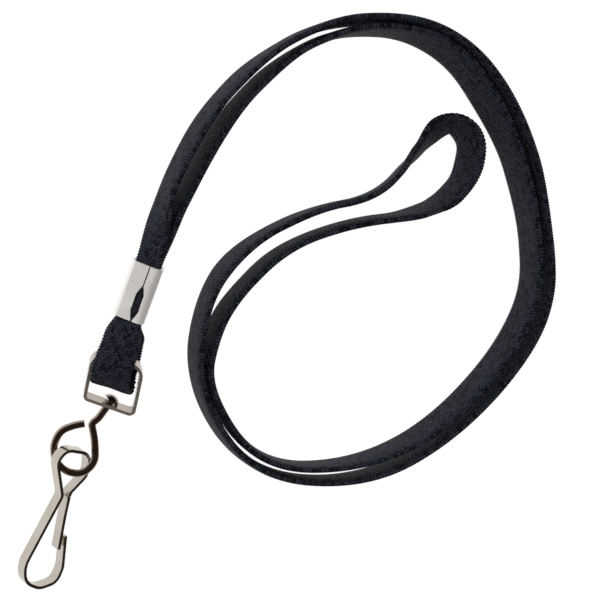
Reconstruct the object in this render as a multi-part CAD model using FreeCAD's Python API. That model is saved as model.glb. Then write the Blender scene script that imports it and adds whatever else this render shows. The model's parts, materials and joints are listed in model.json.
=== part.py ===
"""A neck lanyard: one flat braided strap, doubled and clamped in a crimp, and a swivel clip on its short loop.

Millimetres. +Z is up, and the lanyard lies on the plane z = 0. +Y runs along the hardware, from the hook of the
clip up to the crimp, where the two legs of the strap leave. The origin is the bottom centre of the hardware.
"""
import FreeCAD, Part
import math
import os

Vector = FreeCAD.Vector

# ---- the strap
STRAP_WIDTH = 10.0
STRAP_THICK = 1.9

# The strap stands on edge. From the crimp it goes out along the outer leg, round the neck bend and back along
# the inner leg, as (x, y) corners.
STRAP_ROUTE = [
    (-3.4, 42.55), (-4.5, 64.5), (1.9, 91.1), (20.2, 111.4), (48.6, 116.8), (74.1, 101.5), (90.9, 79.6),
    (99.1, 55.4), (89.6, 22.7), (69.2, 4.6), (42.2, -2.7), (19.3, 15.3), (13.4, 38.1), (19.1, 52.9),
    (32.2, 65.7), (46.9, 72.5), (52.0, 85.5), (55.0, 94.8), (62.3, 97.3), (67.0, 90.2), (66.7, 79.6),
    (58.0, 71.6), (43.1, 64.9), (29.3, 54.7), (22.0, 42.0), (18.7, 31.4), (22.3, 17.1), (42.9, 0.3),
    (67.6, 7.9), (86.7, 24.5), (95.8, 55.4), (87.9, 78.3), (71.9, 99.1), (48.2, 113.5), (22.3, 107.9),
    (5.7, 88.9), (-0.6, 64.2), (-0.5, 42.55),
]

# ---- the crimp and the short loop of strap under it: both are rolled about Y, so their face looks up and to -X
CRIMP_LENGTH = 14.0
CRIMP_WIDTH = 7.6
CRIMP_DEPTH = 5.0
CRIMP_SHEET = 0.6
CRIMP_CORNER = 1.7
CRIMP_SEAM = 0.3
# the flaps meet to one side of the middle, and their edges are cut back: (half the gap, distance from the top)
CRIMP_GAP = [(0.15, 5.0), (0.95, 7.2), (1.0, 11.4), (0.15, 13.9)]
CRIMP_SEAM_SIDE = 0.9
CRIMP_TOP = Vector(-1.95, 42.55, 6.54)
CRIMP_ROLL = 27.0
LOOP_WIDTH = 9.0
LOOP_GAP = 5.0
LOOP_PARTING = 4.6
LOOP_BELOW_BAR = 7.4
LOOP_NECK = 0.6

# ---- the stirrup: a flat strip bent to a closed frame, in its own plane (across, up), from the middle of its base
STIRRUP_SHEET = 0.8
STIRRUP_WIDTH = 3.4
STIRRUP_CORNERS = [(6.2, 0.4), (3.8, 12.8), (-8.7, 12.8), (-6.2, 0.4)]
STIRRUP_RADII = [1.1, 3.4, 3.2, 1.1]
STIRRUP_BAR = (-2.45, 12.8)
STIRRUP_BASE = Vector(1.75, 5.65, 3.44)
STIRRUP_PITCH = 11.0
STIRRUP_ROLL = 10.0
RIVET_HOLE_RADIUS = 1.3

# ---- the swivel eye: a wire, in its own plane (along the shaft, across), from the middle of the stirrup's base
WIRE_RADIUS = 0.92
EYE_CORNERS = [
    (-1.6, 0.0), (4.4, 0.0), (6.2, -0.6), (9.0, 2.4), (13.2, 5.6), (17.4, 4.8), (19.3, 1.2), (18.6, -2.5),
    (15.7, -5.0), (11.9, -5.55), (8.8, -3.5), (7.2, -1.9),
]
EYE_YAW = 17.0
EYE_ROLL = 22.0
HEAD_RADIUS = 1.95
HEAD_RISE = 1.2
HEAD_SEAT = -1.25

# ---- the clip: a flat spring strip, in its own plane (towards the hook, across), from its waist
CLIP_SHEET = 0.8
CLIP_WIDTH = 2.8
CLIP_WAIST = Vector(-0.65, -18.05, 5.14)
CLIP_YAW = 4.7
CLIP_ROLL = -20.0
CLIP_CORNERS = [
    (0.2, 0.6), (-0.8, 0.7), (-5.6, 4.3), (-10.9, 3.3), (-11.6, -3.6), (-8.6, -5.6), (0.2, -1.45),
    (18.6, -6.8), (22.9, -5.3), (24.3, -0.8), (22.6, 3.7), (18.9, 4.4), (10.5, 2.7),
]
CLIP_RADII = [2.0, 4.0, 4.2, 3.6, 3.2, 1.6, 6.0, 4.2, 4.2, 4.0, 5.0]
GATE_CORNERS = [(0.35, 0.6), (5.0, 0.85), (14.0, 1.75)]
GATE_RADII = [40.0]


def spot(point):
    """A 2-D corner as a vector in the XY plane."""
    return Vector(point[0], point[1], 0.0)


def rounded(corners, radii=None, closed=False):
    """Each inner corner as (where its arc starts, its middle, where it ends, the arc's centre, radius)."""
    points = [spot(c) for c in corners]
    count = len(points)
    inner = range(count) if closed else range(1, count - 1)
    arcs = []
    for place, i in enumerate(inner):
        here = points[i]
        back = points[i - 1] - here
        ahead = points[(i + 1) % count] - here
        shorter = min(back.Length, ahead.Length)
        back.normalize()
        ahead.normalize()
        half_turn = (math.pi - back.getAngle(ahead)) / 2
        radius = 0.45 * shorter / math.tan(half_turn)
        if radii:
            radius = min(radius, radii[place])
        reach = radius * math.tan(half_turn)
        inward = (back + ahead).normalize()
        centre = here + inward * (radius / math.cos(half_turn))
        arcs.append((here + back * reach, centre - inward * radius, here + ahead * reach, centre, radius))
    return points, arcs


def side_edges(points, arcs, side, closed=False):
    """The path's lines and arcs, moved by side to the left of the way it runs."""
    def moved(at, way):
        left = Vector(-way.y, way.x, 0.0).normalize()
        return at + left * side

    edges = []
    last_out = None
    for start, middle, end, centre, radius in arcs:
        spin = 1.0 if (middle - start).cross(end - middle).z > 0 else -1.0
        shift = 1.0 - side * spin / radius
        entry, mid, leave = (centre + (at - centre) * shift for at in (start, middle, end))
        if last_out is None and not closed:
            last_out = moved(points[0], start - points[0])
        if last_out is None:
            first_entry = entry
        elif (entry - last_out).Length > 1e-6:
            edges.append(Part.LineSegment(last_out, entry).toShape())
        edges.append(Part.Arc(entry, mid, leave).toShape())
        last_out = leave
    if closed:
        edges.append(Part.LineSegment(last_out, first_entry).toShape())
    else:
        final = moved(points[-1], points[-1] - arcs[-1][2])
        edges.append(Part.LineSegment(last_out, final).toShape())
    return edges


def band(corners, thick, radii=None):
    """A flat face: the open rounded path, thick wide, with square ends."""
    points, arcs = rounded(corners, radii)
    left = side_edges(points, arcs, thick / 2)
    right = side_edges(points, arcs, -thick / 2)
    caps = [
        Part.LineSegment(left[0].firstVertex().Point, right[0].firstVertex().Point).toShape(),
        Part.LineSegment(left[-1].lastVertex().Point, right[-1].lastVertex().Point).toShape(),
    ]
    outline = Part.Wire(Part.__sortEdges__(left + right + caps))
    return Part.Face(outline)


def frame_of(origin, yaw, pitch, roll):
    """Axes turned by roll about their own Y, pitched up along Y, then turned by yaw about Z."""
    turn = FreeCAD.Rotation(Vector(0, 0, 1), yaw)
    turn = turn.multiply(FreeCAD.Rotation(Vector(1, 0, 0), pitch))
    turn = turn.multiply(FreeCAD.Rotation(Vector(0, 1, 0), roll))
    return FreeCAD.Placement(origin, turn)


def placed(shape, placement):
    moved = shape.copy()
    moved.Placement = placement.multiply(moved.Placement)
    return moved


def rounded_box_face(width, depth, corner):
    """A rounded rectangle in the XZ plane, centred on the origin."""
    w, d = width / 2, depth / 2
    corners = [(w, -d), (w, d), (-w, d), (-w, -d)]
    points, arcs = rounded(corners, [corner] * 4, closed=True)
    flat = Part.Face(Part.Wire(side_edges(points, arcs, 0.0, closed=True)))
    flat.rotate(Vector(), Vector(1, 0, 0), 90)
    return flat


def make_neck_strap():
    """The long loop: both its ends stand against the crimp's top face."""
    solid = band(STRAP_ROUTE, STRAP_THICK).extrude(Vector(0, 0, STRAP_WIDTH))
    points, arcs = rounded(STRAP_ROUTE)
    path = Part.Wire(side_edges(points, arcs, 0.0))
    print("strap length", round(path.Length, 1), "volume / section x length",
          round(solid.Volume / (path.Length * STRAP_WIDTH * STRAP_THICK), 4))
    print("strap radii", [round(arc[4], 1) for arc in arcs])
    return solid


def crimp_frame():
    """Y down the crimp from its top, Z out of its seamed face."""
    return frame_of(CRIMP_TOP, 0.0, 0.0, -CRIMP_ROLL)


def make_crimp():
    """A sheet-metal band folded round the strap, its two flaps nearly meeting on the upper face."""
    run = Vector(0, -CRIMP_LENGTH, 0)
    outer = rounded_box_face(CRIMP_WIDTH, CRIMP_DEPTH, CRIMP_CORNER).extrude(run)
    inner = rounded_box_face(
        CRIMP_WIDTH - 2 * CRIMP_SHEET, CRIMP_DEPTH - 2 * CRIMP_SHEET, CRIMP_CORNER - CRIMP_SHEET).extrude(run)
    seam_corner = Vector(CRIMP_SEAM_SIDE - CRIMP_SEAM / 2, -CRIMP_LENGTH, 0)
    seam = Part.makeBox(CRIMP_SEAM, CRIMP_LENGTH, CRIMP_DEPTH, seam_corner)
    shell = outer.cut(inner).cut(seam)
    right = [Vector(CRIMP_SEAM_SIDE + half, -along, 0) for half, along in CRIMP_GAP]
    left = [Vector(CRIMP_SEAM_SIDE - half, -along, 0) for half, along in reversed(CRIMP_GAP)]
    gap = Part.Face(Part.makePolygon(right + left + right[:1]))
    shell = shell.cut(gap.extrude(Vector(0, 0, CRIMP_DEPTH)))
    return placed(shell, crimp_frame())


def make_hook_loop():
    """The short loop of strap below the crimp, which holds the stirrup, and its two ends inside the crimp."""
    tail_width = CRIMP_WIDTH - 2 * CRIMP_SHEET
    tail_depth = CRIMP_DEPTH - 2 * CRIMP_SHEET
    tail = rounded_box_face(tail_width, tail_depth, CRIMP_CORNER - CRIMP_SHEET)
    tail = placed(tail.extrude(Vector(0, -CRIMP_LENGTH - LOOP_NECK, 0)), crimp_frame())

    # the loop hangs from the crimp's mouth to the stirrup's bar, in the bar's roll
    top = CRIMP_TOP - Vector(0, CRIMP_LENGTH + LOOP_NECK - 0.1, 0)
    hang = stirrup_bar() - top
    yaw = math.degrees(math.atan2(hang.x, -hang.y))
    pitch = math.degrees(math.asin(-hang.z / hang.Length))

    # its profile in (y, z): two layers that part above the bar and turn at the fold
    inner_r = LOOP_GAP / 2
    outer_r = inner_r + STRAP_THICK
    fold_y = -hang.Length - LOOP_BELOW_BAR + outer_r
    outline = fold_wire(0.0, STRAP_THICK, outer_r, fold_y)
    gap = fold_wire(-STRAP_THICK, 0.0, inner_r, fold_y)
    across = Vector(LOOP_WIDTH, 0, 0)
    loop = Part.Face(outline).extrude(across).cut(Part.Face(gap).extrude(across))
    loop.translate(Vector(-LOOP_WIDTH / 2, 0, 0))
    return tail.fuse(placed(loop, frame_of(top, yaw, pitch, -STIRRUP_ROLL))).removeSplitter()


def fold_wire(top_y, top_half, radius, fold_y):
    """A teardrop in (y, z): it widens over the parting length, then runs straight down to a round end."""
    start = Vector(0, top_y, top_half)
    spread = Vector(0, -LOOP_PARTING, radius)
    turn = [Vector(0, fold_y, radius), Vector(0, fold_y - radius, 0), Vector(0, fold_y, -radius)]
    other = Vector(0, -LOOP_PARTING, -radius)
    corners = [turn[2], other, Vector(0, top_y, -top_half)]
    if top_half > 0:
        corners.append(start)
    corners.extend([spread, turn[0]])
    edges = [Part.LineSegment(a, b).toShape() for a, b in zip(corners, corners[1:])]
    edges.append(Part.Arc(*turn).toShape())
    return Part.Wire(Part.__sortEdges__(edges))


def stirrup_frame():
    return frame_of(STIRRUP_BASE, 0.0, STIRRUP_PITCH, -STIRRUP_ROLL)


def stirrup_bar():
    """The middle of the bar that lies in the strap's loop, where the stirrup swings."""
    return stirrup_frame().multVec(spot(STIRRUP_BAR))


def make_stirrup():
    """A strip of sheet bent to a closed frame: a straight base with the swivel's hole, and an arch above."""
    points, arcs = rounded(STIRRUP_CORNERS, STIRRUP_RADII, closed=True)
    half = STIRRUP_SHEET / 2
    rims = [Part.Face(Part.Wire(side_edges(points, arcs, side, closed=True))) for side in (-half, half)]
    rims.sort(key=lambda face: face.Area)
    ring = rims[1].cut(rims[0]).extrude(Vector(0, 0, STIRRUP_WIDTH))
    ring.translate(Vector(0, 0, -STIRRUP_WIDTH / 2))
    hole = Part.makeCylinder(RIVET_HOLE_RADIUS, 3 * STIRRUP_SHEET, Vector(0, -STIRRUP_SHEET, 0), Vector(0, 1, 0))
    return placed(ring.cut(hole), stirrup_frame())


def eye_frame():
    """X along the shaft, away from the stirrup, and Y across the ring."""
    middle = stirrup_frame().multVec(Vector(0, STIRRUP_SHEET / 2, 0))
    turn = FreeCAD.Rotation(Vector(0, 0, 1), -90.0 - EYE_YAW)
    turn = turn.multiply(FreeCAD.Rotation(Vector(1, 0, 0), EYE_ROLL))
    return FreeCAD.Placement(middle, turn)


def make_swivel_eye():
    """A wire bent to an open ring, whose shaft goes through the stirrup's base and is upset to a domed head."""
    points, arcs = rounded(EYE_CORNERS)
    path = Part.Wire(side_edges(points, arcs, 0.0))
    section = Part.Wire(Part.makeCircle(WIRE_RADIUS, points[0], Vector(1, 0, 0)))
    wire = path.makePipeShell([section], True, True)
    cap_radius = (HEAD_RADIUS ** 2 + HEAD_RISE ** 2) / (2 * HEAD_RISE)
    ball = Part.makeSphere(cap_radius, Vector(HEAD_SEAT - HEAD_RISE + cap_radius, 0, 0))
    keep = Part.makeBox(HEAD_RISE, 2 * cap_radius, 2 * cap_radius,
                        Vector(HEAD_SEAT - HEAD_RISE, -cap_radius, -cap_radius))
    return placed(wire.fuse(ball.common(keep)), eye_frame())


def clip_frame():
    """X from the waist towards the hook, Y across, Z out of the nearer edge of the strip."""
    turn = FreeCAD.Rotation(Vector(0, 0, 1), -90.0 + CLIP_YAW)
    turn = turn.multiply(FreeCAD.Rotation(Vector(1, 0, 0), CLIP_ROLL))
    return FreeCAD.Placement(CLIP_WAIST, turn)


def make_clip_body():
    """The strip from its waist round the top loop, down the long arm and round to the hook's tip."""
    strip = band(CLIP_CORNERS, CLIP_SHEET, CLIP_RADII).extrude(Vector(0, 0, -CLIP_WIDTH))
    return placed(strip, clip_frame())


def make_clip_gate():
    """The springy leaf that closes the hook from inside."""
    strip = band(GATE_CORNERS, CLIP_SHEET, GATE_RADII).extrude(Vector(0, 0, -CLIP_WIDTH))
    return placed(strip, clip_frame())


NODES = {
    "strap_neck_loop": make_neck_strap,
    "strap_hook_loop": make_hook_loop,
    "crimp_clamp": make_crimp,
    "stirrup": make_stirrup,
    "swivel_eye": make_swivel_eye,
    "clip_body": make_clip_body,
    "clip_gate": make_clip_gate,
}


def main():
    os.makedirs("parts", exist_ok=True)
    for name, make in NODES.items():
        shape = make()
        solids = shape.Solids
        box = shape.BoundBox
        print(f"{name}: valid {shape.isValid()}, {len(solids)} solid, {shape.Volume:.1f} mm3, "
              f"x {box.XMin:.2f} {box.XMax:.2f}, y {box.YMin:.2f} {box.YMax:.2f}, z {box.ZMin:.2f} {box.ZMax:.2f}")
        (solids[0] if len(solids) == 1 else shape).exportStep(f"parts/{name}.step")


main()
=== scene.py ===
import json
import math

import bmesh
import bpy
from mathutils import Matrix, Vector


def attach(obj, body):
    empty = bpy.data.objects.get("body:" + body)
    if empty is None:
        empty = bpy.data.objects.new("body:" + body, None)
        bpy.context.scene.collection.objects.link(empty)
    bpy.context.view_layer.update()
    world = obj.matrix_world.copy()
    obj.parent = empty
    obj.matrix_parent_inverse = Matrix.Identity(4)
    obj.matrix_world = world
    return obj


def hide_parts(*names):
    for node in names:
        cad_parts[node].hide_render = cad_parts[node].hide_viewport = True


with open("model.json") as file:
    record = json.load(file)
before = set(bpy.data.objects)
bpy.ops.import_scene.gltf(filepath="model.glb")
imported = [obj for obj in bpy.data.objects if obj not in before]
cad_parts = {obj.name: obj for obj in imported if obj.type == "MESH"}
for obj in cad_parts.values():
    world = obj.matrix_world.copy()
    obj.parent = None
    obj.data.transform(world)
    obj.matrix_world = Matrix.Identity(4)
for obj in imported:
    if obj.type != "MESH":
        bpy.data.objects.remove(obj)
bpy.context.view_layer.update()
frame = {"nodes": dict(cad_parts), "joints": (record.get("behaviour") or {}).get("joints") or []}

MM = 0.001

# ---- the camera: over the table, leaned from the vertical towards the crimp's side
TARGET = Vector((39.7, 42.2, 0.0)) * MM
CAMERA_DISTANCE = 1.0
CAMERA_LEAN = math.radians(25.0)
CAMERA_LEAN_WAY = Vector((-0.853, 0.522, 0.0)).normalized()
VIEW_RIGHT = Vector((0.951, 0.309, 0.0)).normalized()
FIELD = 0.144

away = CAMERA_LEAN_WAY * math.sin(CAMERA_LEAN) + Vector((0, 0, math.cos(CAMERA_LEAN)))
# the view's right on the table, tipped with the camera, and its up
across = CAMERA_LEAN_WAY.dot(VIEW_RIGHT)
right = VIEW_RIGHT - (1 - math.cos(CAMERA_LEAN)) * across * CAMERA_LEAN_WAY
right -= Vector((0, 0, math.sin(CAMERA_LEAN) * across))
right.normalize()
up = away.cross(right)
camera_data = bpy.data.cameras.new("camera")
camera_data.sensor_width = 36.0
camera_data.lens = 36.0 * CAMERA_DISTANCE / FIELD
camera_data.clip_start = 0.05
camera = bpy.data.objects.new("camera", camera_data)
facing = Matrix((right, up, away)).transposed().to_4x4()
camera.matrix_world = Matrix.Translation(TARGET + away * CAMERA_DISTANCE) @ facing
bpy.context.scene.collection.objects.link(camera)
bpy.context.scene.camera = camera

# ---- the strap's sizes, and its route in mm, which is the solid's with small changes
STRAP_WIDTH = 10.0 * MM
STRAP_THICK = 1.9 * MM
ROUTE = [
    (-3.4, 42.55), (-4.1, 64.6), (2.2, 91.0), (20.0, 111.5), (48.5, 117.0), (73.5, 100.9), (89.2, 78.7),
    (100.0, 56.0), (88.9, 23.4), (70.8, 3.5), (41.7, -2.1), (19.4, 15.2), (14.1, 38.0), (19.1, 52.7),
    (32.4, 65.5), (46.8, 72.5), (51.9, 84.2), (55.4, 93.2), (60.4, 95.8), (66.2, 90.8), (66.2, 79.3),
    (58.2, 71.2), (43.0, 65.1), (29.0, 55.0), (22.1, 42.2), (19.3, 31.4), (21.7, 16.8), (42.5, 0.5),
    (68.3, 7.6), (85.8, 25.4), (95.8, 55.8), (86.6, 77.8), (71.0, 98.2), (48.3, 114.6), (21.4, 109.1),
    (6.1, 88.9), (0.8, 64.1), (-0.5, 42.55),
]
# how far the strap's top edge leans to the left of its run: (mm along it, degrees)
LEANS = [
    (0, 0), (32, 0), (48, 6), (66, 17), (84, 27), (103, 32), (120, 32), (144, 21), (166, 12), (185, 5),
    (204, 2), (238, -8), (261, -11), (288, -8), (311, -4), (333, 2), (353, 14), (370, 20), (386, 20),
    (393, 34), (400, 50), (407, 35), (415, 21), (424, 8), (433, -5), (442, -12), (462, -13), (480, -7),
    (499, 1), (520, 4), (545, 10), (598, -5), (617, -9), (634, -14), (655, -21), (678, -34), (694, -37),
    (711, -29), (728, -17), (745, -6), (760, 0), (795, 0),
]
LEANS_LENGTH = 795
CRIMP_TOP = Vector((-1.95, 42.55, 6.54)) * MM
CRIMP_ROLL = math.radians(27.0)
CRIMP_LENGTH = 14.0 * MM
CRIMP_ACROSS = Vector((math.cos(CRIMP_ROLL), 0, math.sin(CRIMP_ROLL)))
CRIMP_OUT = Vector((-math.sin(CRIMP_ROLL), 0, math.cos(CRIMP_ROLL)))
DOWN_CRIMP = Vector((0, -1, 0))
SQUEEZED_WIDTH = 6.2 * MM
RING_STEP = 0.35 * MM
# the section of the braid: points round it, how square its edges and faces are, and its scalloped edge
SIDES = 26
EDGE_SQUARENESS = 0.55
FACE_SQUARENESS = 0.72
SCALLOP = 0.085


def smooth(t):
    """An eased step from 0 to 1."""
    t = min(max(t, 0.0), 1.0)
    return t * t * (3 - 2 * t)


def keyed(keys, at):
    """The value between two keys, eased."""
    for (a, low), (b, high) in zip(keys, keys[1:]):
        if at <= b:
            return low + (high - low) * smooth((at - a) / (b - a))
    return keys[-1][1]


def spline_points(points, name):
    """Points along a smooth NURBS spline through the route's control points."""
    data = bpy.data.curves.new(name, "CURVE")
    data.dimensions = "3D"
    spline = data.splines.new("NURBS")
    spline.points.add(len(points) - 1)
    for point, co in zip(spline.points, points):
        point.co = (*co, 1.0)
    spline.order_u = 3
    spline.use_endpoint_u = True
    spline.resolution_u = 24
    line = bpy.data.objects.new(name, data)
    bpy.context.scene.collection.objects.link(line)
    mesh = bpy.data.meshes.new_from_object(line)
    out = [v.co.copy() for v in mesh.vertices]
    bpy.data.meshes.remove(mesh)
    bpy.data.objects.remove(line)
    bpy.data.curves.remove(data)
    return out


def evenly(points, step):
    """The same line with points a step apart, as (point, distance along it)."""
    along = [0.0]
    for a, b in zip(points, points[1:]):
        along.append(along[-1] + (b - a).length)
    count = max(2, round(along[-1] / step))
    out = []
    j = 0
    for i in range(count + 1):
        s = along[-1] * i / count
        while j < len(points) - 2 and along[j + 1] < s:
            j += 1
        gap = along[j + 1] - along[j]
        out.append((points[j].lerp(points[j + 1], (s - along[j]) / gap if gap > 0 else 0.0), s))
    return out


def ribbon(name, rings, start_mm=0.0):
    """A flat tubular braid: rings are (centre, unit way across, width, thickness, distance along)."""
    bm = bmesh.new()
    uv = bm.loops.layers.uv.new("braid")
    loops = []
    tangents = []
    for i in range(len(rings)):
        ahead = rings[min(i + 1, len(rings) - 1)][0] - rings[max(i - 1, 0)][0]
        tangents.append(ahead.normalized())
    for i, (centre, way, width, thick, along) in enumerate(rings):
        way = (way - tangents[i] * way.dot(tangents[i])).normalized()
        face = tangents[i].cross(way)
        scallop = 0.5 + 0.5 * math.cos(math.pi * i)  # every second ring is a little wider
        ring = []
        for k in range(SIDES):
            turn = 2 * math.pi * k / SIDES
            c, s = math.cos(turn), math.sin(turn)
            x = math.copysign(abs(c) ** EDGE_SQUARENESS, c)
            z = math.copysign(abs(s) ** FACE_SQUARENESS, s)
            edge = abs(x) ** 6
            grow = 1.0 + SCALLOP * edge * (scallop - 0.5)
            ring.append(bm.verts.new(centre + way * (x * width / 2 * grow) + face * (z * thick / 2)))
        loops.append((ring, along))
    acrosses = []
    for k in range(SIDES):
        c = math.cos(2 * math.pi * k / SIDES)
        acrosses.append(math.copysign(abs(c) ** EDGE_SQUARENESS, c) * STRAP_WIDTH / 2 / MM)
    for (a, sa), (b, sb) in zip(loops, loops[1:]):
        for k in range(SIDES):
            m = (k + 1) % SIDES
            quad = bm.faces.new((a[k], b[k], b[m], a[m]))
            quad.smooth = True
            spots = ((sa, k), (sb, k), (sb, m), (sa, m))
            for loop, (s, q) in zip(quad.loops, spots):
                loop[uv].uv = (s / MM + start_mm, acrosses[q])
    for ring, flip in ((loops[0][0], False), (loops[-1][0], True)):
        cap = bm.faces.new(ring if flip else ring[::-1])
        for loop in cap.loops:
            loop[uv].uv = (0.0, 0.0)
    bmesh.ops.recalc_face_normals(bm, faces=bm.faces)
    mesh = bpy.data.meshes.new(name)
    bm.to_mesh(mesh)
    bm.free()
    piece = bpy.data.objects.new(name, mesh)
    bpy.context.scene.collection.objects.link(piece)
    return piece


# ---- the neck loop
route = [Vector((x, y, STRAP_WIDTH / MM / 2)) * MM for x, y in ROUTE]
line = evenly(spline_points(route, "route"), RING_STEP)
total = line[-1][1]
Z = Vector((0, 0, 1))
# over this far from the crimp a leg turns onto the other one, and over the last of it gathers
TWIST_LENGTH = 21 * MM
TWIST_EASE = 2.2
SQUEEZE_LENGTH = 13 * MM
SQUEEZED_THINNER = 0.08
LEG_OFF_MIDDLE = 0.9 * MM
INTO_CRIMP = 6.0 * MM
rings = []
for i, (point, along) in enumerate(line):
    ahead = (line[min(i + 1, len(line) - 1)][0] - line[max(i - 1, 0)][0]).normalized()
    left = Z.cross(ahead).normalized()
    lean = math.radians(keyed(LEANS, along / MM * LEANS_LENGTH / (total / MM)))
    way = Z * math.cos(lean) + left * math.sin(lean)
    height = STRAP_WIDTH / 2 * math.cos(lean) + STRAP_THICK / 2 * abs(math.sin(lean))
    centre = Vector((point.x, point.y, height))
    width, thick = STRAP_WIDTH, STRAP_THICK
    out = min(along, total - along)
    if out < TWIST_LENGTH:
        # the legs lie one on the other, roll with the crimp and are gathered to its width
        side = 1.0 if along < total / 2 else -1.0
        near = 1.0 - smooth(out / TWIST_LENGTH)
        roll = CRIMP_ROLL + (math.pi / 2 - CRIMP_ROLL) * (1 - (1 - out / TWIST_LENGTH) ** TWIST_EASE)
        way = Vector((math.cos(roll), 0, math.sin(roll)))
        stacked = CRIMP_TOP + CRIMP_OUT * side * LEG_OFF_MIDDLE
        stacked.y = centre.y
        centre = centre.lerp(stacked, near)
        squeeze = 1.0 - smooth(out / SQUEEZE_LENGTH)
        width = STRAP_WIDTH + (SQUEEZED_WIDTH - STRAP_WIDTH) * squeeze
        thick = STRAP_THICK * (1 - SQUEEZED_THINNER * squeeze)
    rings.append([centre, way, width, thick, along])
for end, way_in in ((0, 1), (-1, -1)):
    centre, way, width, thick, along = rings[end]
    extra = []
    for j in range(1, int(INTO_CRIMP / RING_STEP)):
        step = j * RING_STEP
        extra.append([centre + DOWN_CRIMP * step, way, width, thick, along - way_in * step])
    if end == 0:
        rings = extra[::-1] + rings
    else:
        rings = rings + extra
neck = ribbon("neck_loop_braid", rings)
path = [ring[0].copy() for ring in rings]

# ---- the short loop of the same strap under the crimp, round the stirrup's bar
LOOP_TOP = CRIMP_TOP + DOWN_CRIMP * CRIMP_LENGTH
BAR = Vector(frame["joints"][0]["pos_m"])
BAR_WAY = Vector(frame["joints"][0]["axis"]).normalized()
LOOP_WIDTH = 9.5 * MM
LOOP_HALF = (5.0 + 1.9) / 2 * MM
LOOP_BELOW_BAR = 7.4 * MM
LOOP_WIDENS_OVER = 6.0 * MM
LAYER_OFF_MIDDLE = 0.95 * MM
# the front layer hangs to one side of the back one
FRONT_SKEW = 1.3 * MM
BACK_SKEW = 1.0 * MM
# the sides of the loop: (share of the way from the crimp to the fold, share of the loop's half depth)
LOOP_SPREAD = ((0.22, 0.52), (0.48, 0.93), (0.75, 1.02), (0.97, 1.0))
hang = (BAR - LOOP_TOP).normalized()
out_way = BAR_WAY.cross(hang).normalized()
if out_way.z < 0:
    out_way = -out_way
fold = BAR + hang * (LOOP_BELOW_BAR - STRAP_THICK / 2 - LOOP_HALF)


def loop_side(sign):
    """One layer from inside the crimp down to where the fold starts."""
    inner = CRIMP_OUT * sign * LAYER_OFF_MIDDLE
    skew = -BAR_WAY * FRONT_SKEW if sign > 0 else BAR_WAY * BACK_SKEW
    part = [LOOP_TOP - DOWN_CRIMP * inside * MM + inner for inside in (9, 4, 0.5)]
    for share, spread in LOOP_SPREAD:
        at = LOOP_TOP + (fold - LOOP_TOP) * share
        part.append(at + out_way * sign * LOOP_HALF * spread + skew * smooth(share))
    return part


front = loop_side(1.0)
back = loop_side(-1.0)
down = (fold - LOOP_TOP).normalized()
bottom = [
    fold + down * LOOP_HALF * 0.62 + out_way * LOOP_HALF * 0.96 - BAR_WAY * FRONT_SKEW * 0.8,
    fold + down * LOOP_HALF * 1.12 + out_way * LOOP_HALF * 0.42 + BAR_WAY * 0.1 * MM,
    fold + down * LOOP_HALF * 1.12 - out_way * LOOP_HALF * 0.42 + BAR_WAY * 1.2 * MM,
    fold + down * LOOP_HALF * 0.62 - out_way * LOOP_HALF * 0.96 + BAR_WAY * BACK_SKEW * 0.95,
]
loop_line = evenly(spline_points(front + bottom + back[::-1], "loop_route"), RING_STEP)
loop_rings = []
for point, along in loop_line:
    below = min(max((LOOP_TOP.y - point.y) / LOOP_WIDENS_OVER, 0.0), 1.0)
    way = CRIMP_ACROSS.lerp(BAR_WAY, smooth(below)).normalized()
    width = SQUEEZED_WIDTH + (LOOP_WIDTH - SQUEEZED_WIDTH) * smooth(below)
    thick = STRAP_THICK * (1 - SQUEEZED_THINNER + SQUEEZED_THINNER * below)
    loop_rings.append([point, way, width, thick, along])
# its stitches start further along the braid than the neck loop's end
LOOP_START_MM = 900.0
hook_loop = ribbon("hook_loop_braid", loop_rings, LOOP_START_MM)


# ---- materials
# the braid in mm: the width of a rib, the length of a stitch, and how far a yarn slants across its rib
RIB = 1.0
STITCH = 0.84
SLANT = 0.8


class Nodes:
    """A node tree with short calls for maths."""

    def __init__(self, tree):
        self.tree = tree
        tree.nodes.clear()

    def new(self, kind, **inputs):
        node = self.tree.nodes.new(kind)
        for key, value in inputs.items():
            setattr(node, key, value)
        return node

    def link(self, a, b):
        self.tree.links.new(a, b)

    def maths(self, operation, a, b=None, c=None):
        node = self.new("ShaderNodeMath", operation=operation)
        for socket, value in zip(node.inputs, (a, b, c)):
            if value is None:
                continue
            if isinstance(value, (int, float)):
                socket.default_value = value
            else:
                self.link(value, socket)
        return node.outputs[0]

    def noise(self, vector, scale, detail):
        node = self.new("ShaderNodeTexNoise")
        node.inputs["Scale"].default_value = scale
        node.inputs["Detail"].default_value = detail
        self.link(vector, node.inputs["Vector"])
        return node.outputs[0]

    def mix(self, factor, a, b):
        node = self.new("ShaderNodeMix", data_type="RGBA")
        self.link(factor, node.inputs[0])
        for socket, value in ((node.inputs[6], a), (node.inputs[7], b)):
            if isinstance(value, tuple):
                socket.default_value = value
            else:
                self.link(value, socket)
        return node.outputs[2]


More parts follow.
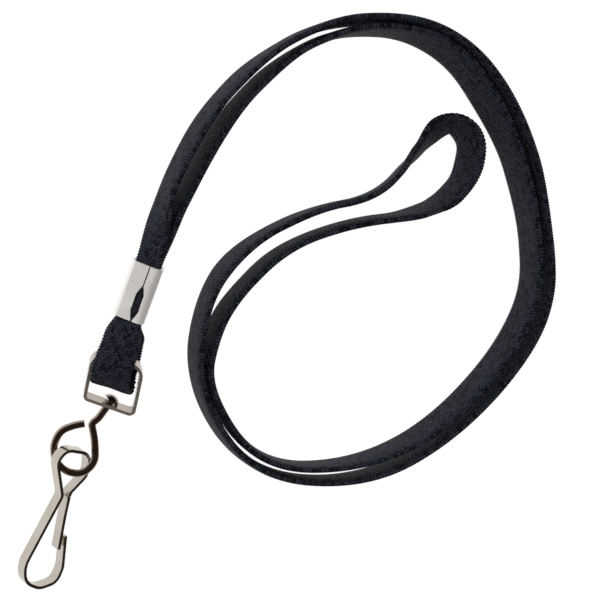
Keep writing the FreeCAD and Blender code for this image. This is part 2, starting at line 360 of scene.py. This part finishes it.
def braid_material(name):
    """Yarns in ribs along the strap, slanted one way and the other, so that they meet in chevrons, with
    painted highlights on the yarn tops and painted shade between them.
    """
    material = bpy.data.materials.new(name)
    material.use_nodes = True
    n = Nodes(material.node_tree)
    coords = n.new("ShaderNodeUVMap", uv_map="braid")
    split = n.new("ShaderNodeSeparateXYZ")
    n.link(coords.outputs[0], split.inputs[0])
    along, across_mm = split.outputs[0], split.outputs[1]
    # the ribs wander a little, and are counted from far enough off to stay positive
    drift = n.noise(coords.outputs[0], 0.55, 2.0)
    ribs = n.maths("DIVIDE", n.maths("ADD", across_mm, n.maths("MULTIPLY_ADD", drift, 0.5, 50.0)), RIB)
    place = n.maths("SUBTRACT", n.maths("FRACT", ribs), 0.5)
    parity = n.maths("MODULO", n.maths("FLOOR", ribs), 2.0)
    sign = n.maths("SUBTRACT", n.maths("MULTIPLY", parity, 2.0), 1.0)
    slant = n.maths("MULTIPLY", n.maths("MULTIPLY", sign, place), SLANT)
    phase = n.maths("ADD", n.maths("DIVIDE", along, STITCH), slant)
    wave = n.maths("ABSOLUTE", n.maths("SINE", n.maths("MULTIPLY", phase, math.pi)))
    yarn = n.maths("POWER", wave, 0.8)
    off_middle = n.maths("ABSOLUTE", n.maths("MULTIPLY", place, 2.0))
    crown = n.maths("SUBTRACT", 1.0, n.maths("MULTIPLY", n.maths("POWER", off_middle, 3.0), 0.55))
    # each stitch gets a random strength of painted highlight in its base colour
    cell = n.new("ShaderNodeCombineXYZ")
    n.link(n.maths("FLOOR", phase), cell.inputs[0])
    n.link(n.maths("FLOOR", ribs), cell.inputs[1])
    luck = n.new("ShaderNodeTexWhiteNoise", noise_dimensions="2D")
    n.link(cell.outputs[0], luck.inputs["Vector"])
    fray = n.noise(coords.outputs[0], 7.0, 2.0)
    height = n.maths("MULTIPLY", yarn, crown)
    height = n.maths("ADD", height, n.maths("MULTIPLY", fray, 0.25))
    bump = n.new("ShaderNodeBump")
    bump.inputs["Strength"].default_value = 0.9
    bump.inputs["Distance"].default_value = 0.25 * MM
    n.link(height, bump.inputs["Height"])
    # painted light: the base colour is lighter on the yarn tops as a painted highlight, and near black in
    # the gaps between yarns and at the rib edges as painted shade
    painted_stitch_light = n.maths("MULTIPLY", height, n.maths("MULTIPLY_ADD", luck.outputs["Value"], 1.5, 0.18))
    # the dye shifts slowly between violet and blue-green along the strap
    dye = n.maths("MULTIPLY_ADD", n.noise(coords.outputs[0], 0.13, 1.0), 3.0, -1.0)
    dye = n.maths("MINIMUM", n.maths("MAXIMUM", dye, 0.0), 1.0)
    top = n.mix(dye, (0.034, 0.028, 0.044, 1), (0.023, 0.030, 0.040, 1))
    yarn_colour_with_painted_light = n.mix(painted_stitch_light, (0.0020, 0.0016, 0.0030, 1), top)
    shader = n.new("ShaderNodeBsdfPrincipled")
    shader.inputs["Roughness"].default_value = 0.62
    shader.inputs["Specular IOR Level"].default_value = 0.10
    shader.inputs["Specular Tint"].default_value = (0.75, 0.72, 1.0, 1)
    n.link(yarn_colour_with_painted_light, shader.inputs["Base Color"])
    n.link(bump.outputs[0], shader.inputs["Normal"])
    output = n.new("ShaderNodeOutputMaterial")
    n.link(shader.outputs[0], output.inputs[0])
    return material


def nickel_material(name, tint, rough, wear_scale, metallic=1.0, dents=0.25):
    """Bright plate over sheet or wire: fine rubbing marks, cloudy roughness and a little tarnish."""
    material = bpy.data.materials.new(name)
    material.use_nodes = True
    n = Nodes(material.node_tree)
    coords = n.new("ShaderNodeTexCoord")
    cloud = n.noise(coords.outputs["Object"], wear_scale, 5.0)
    fine = n.noise(coords.outputs["Object"], wear_scale * 14, 2.0)
    colour = n.mix(cloud, (tint[0] * 0.78, tint[1] * 0.75, tint[2] * 0.70, 1), (*tint, 1))
    roughness = n.maths("ADD", n.maths("MULTIPLY", cloud, 0.16), rough - 0.06)
    bump = n.new("ShaderNodeBump")
    bump.inputs["Strength"].default_value = dents
    bump.inputs["Distance"].default_value = 0.06 * MM
    n.link(n.maths("ADD", cloud, n.maths("MULTIPLY", fine, 0.35)), bump.inputs["Height"])
    shader = n.new("ShaderNodeBsdfPrincipled")
    shader.inputs["Metallic"].default_value = metallic
    n.link(colour, shader.inputs["Base Color"])
    n.link(roughness, shader.inputs["Roughness"])
    n.link(bump.outputs[0], shader.inputs["Normal"])
    output = n.new("ShaderNodeOutputMaterial")
    n.link(shader.outputs[0], output.inputs[0])
    return material


braid = braid_material("braid")
for piece in (neck, hook_loop):
    piece.data.materials.append(braid)
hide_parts("strap_neck_loop")
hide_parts("strap_hook_loop")
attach(neck, "strap")
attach(hook_loop, "strap")

metals = {
    # the crimp's near-white, half-diffuse tint is a painted bright reflection on the plating
    "crimp_clamp": nickel_material("nickel_crimp_painted_bright_reflection", (0.88, 0.87, 0.86), 0.28, 260.0, metallic=0.55),
    "stirrup": nickel_material("nickel_stirrup", (0.52, 0.47, 0.41), 0.14, 420.0, metallic=0.72, dents=0.6),
    # the eye's dark brown tint is a painted dark reflection: the same plating as the clip, made darker
    "swivel_eye": nickel_material("nickel_eye_painted_dark_reflection", (0.36, 0.285, 0.235), 0.20, 340.0, dents=0.05),
    "clip_body": nickel_material("nickel_clip", (0.56, 0.53, 0.48), 0.15, 300.0),
    "clip_gate": nickel_material("nickel_gate", (0.56, 0.53, 0.48), 0.15, 300.0),
}
for node, material in metals.items():
    if node != "swivel_eye":
        # sheet metal gets softened edges, which the round wire doesn't need
        edge = frame["nodes"][node].modifiers.new("edge", "BEVEL")
        edge.width = 0.05 * MM
        edge.segments = 2
        edge.limit_method = "ANGLE"
        edge.angle_limit = math.radians(40.0)
        edge.harden_normals = True
    slots = frame["nodes"][node].material_slots
    if len(slots) == 0:
        frame["nodes"][node].data.materials.append(material)
    for slot in slots:
        slot.material = material

# ---- the ground and the light
GROUND_HALF = 6.0
GROUND_BELOW = 0.3 * MM
floor_mesh = bpy.data.meshes.new("ground")
corners = [(x * GROUND_HALF, y * GROUND_HALF, 0) for x, y in ((-1, -1), (1, -1), (1, 1), (-1, 1))]
floor_mesh.from_pydata(corners, [], [(0, 1, 2, 3)])
ground = bpy.data.objects.new("ground", floor_mesh)
ground.location.z = -GROUND_BELOW
bpy.context.scene.collection.objects.link(ground)
paper = bpy.data.materials.new("paper")
paper.use_nodes = True
paper_shader = paper.node_tree.nodes["Principled BSDF"]
paper_shader.inputs["Base Color"].default_value = (0.15, 0.15, 0.15, 1)
paper_shader.inputs["Roughness"].default_value = 0.9
paper_shader.inputs["Specular IOR Level"].default_value = 0.0
paper_shader.inputs["Emission Color"].default_value = (1, 1, 1, 1)
paper_shader.inputs["Emission Strength"].default_value = 0.96
floor_mesh.materials.append(paper)

# pale up to just over the horizon, and dark above it
world = bpy.data.worlds.new("studio")
bpy.context.scene.world = world
world.use_nodes = True
w = Nodes(world.node_tree)
direction = w.new("ShaderNodeTexCoord")
parts = w.new("ShaderNodeSeparateXYZ")
w.link(direction.outputs["Generated"], parts.inputs[0])
ramp = w.new("ShaderNodeValToRGB")
w.link(parts.outputs[2], ramp.inputs[0])
ramp.color_ramp.elements[0].position = 0.05
ramp.color_ramp.elements[0].color = (0.85, 0.84, 0.82, 1)
ramp.color_ramp.elements[1].position = 0.24
ramp.color_ramp.elements[1].color = (0.030, 0.020, 0.014, 1)
overhead = ramp.color_ramp.elements.new(0.93)
overhead.color = (0.05, 0.04, 0.035, 1)
background = w.new("ShaderNodeBackground")
background.inputs["Strength"].default_value = 1.0
w.link(ramp.outputs[0], background.inputs["Color"])
world_out = w.new("ShaderNodeOutputWorld")
w.link(background.outputs[0], world_out.inputs[0])


def softbox(name, place, size, power, mirrored_in=()):
    """A lamp that lights everything and mirrors in nothing, or one that only the given nodes receive."""
    data = bpy.data.lights.new(name, "AREA")
    data.shape = "RECTANGLE"
    data.size, data.size_y = size
    data.energy = power
    lamp = bpy.data.objects.new(name, data)
    lamp.location = place
    lamp.visible_glossy = bool(mirrored_in)
    if mirrored_in:
        receivers = bpy.data.collections.new(name + "_receivers")
        for node in mirrored_in:
            receivers.objects.link(frame["nodes"][node])
        lamp.light_linking.receiver_collection = receivers
    way = TARGET - Vector(place)
    lamp.rotation_euler = way.to_track_quat("-Z", "Y").to_euler()
    bpy.context.scene.collection.objects.link(lamp)


softbox("key", (0.35, 1.0, 1.3), (0.9, 0.4), 14.0)
softbox("fill", (-0.75, -0.33, 1.2), (0.45, 0.8), 8.0)
softbox("rim", (-1.2, 0.6, 0.8), (0.8, 0.25), 5.0)
softbox("glint", (-0.75, -0.33, 1.2), (0.45, 0.8), 8.0, mirrored_in=("crimp_clamp",))

bpy.context.scene.view_settings.view_transform = "Standard"
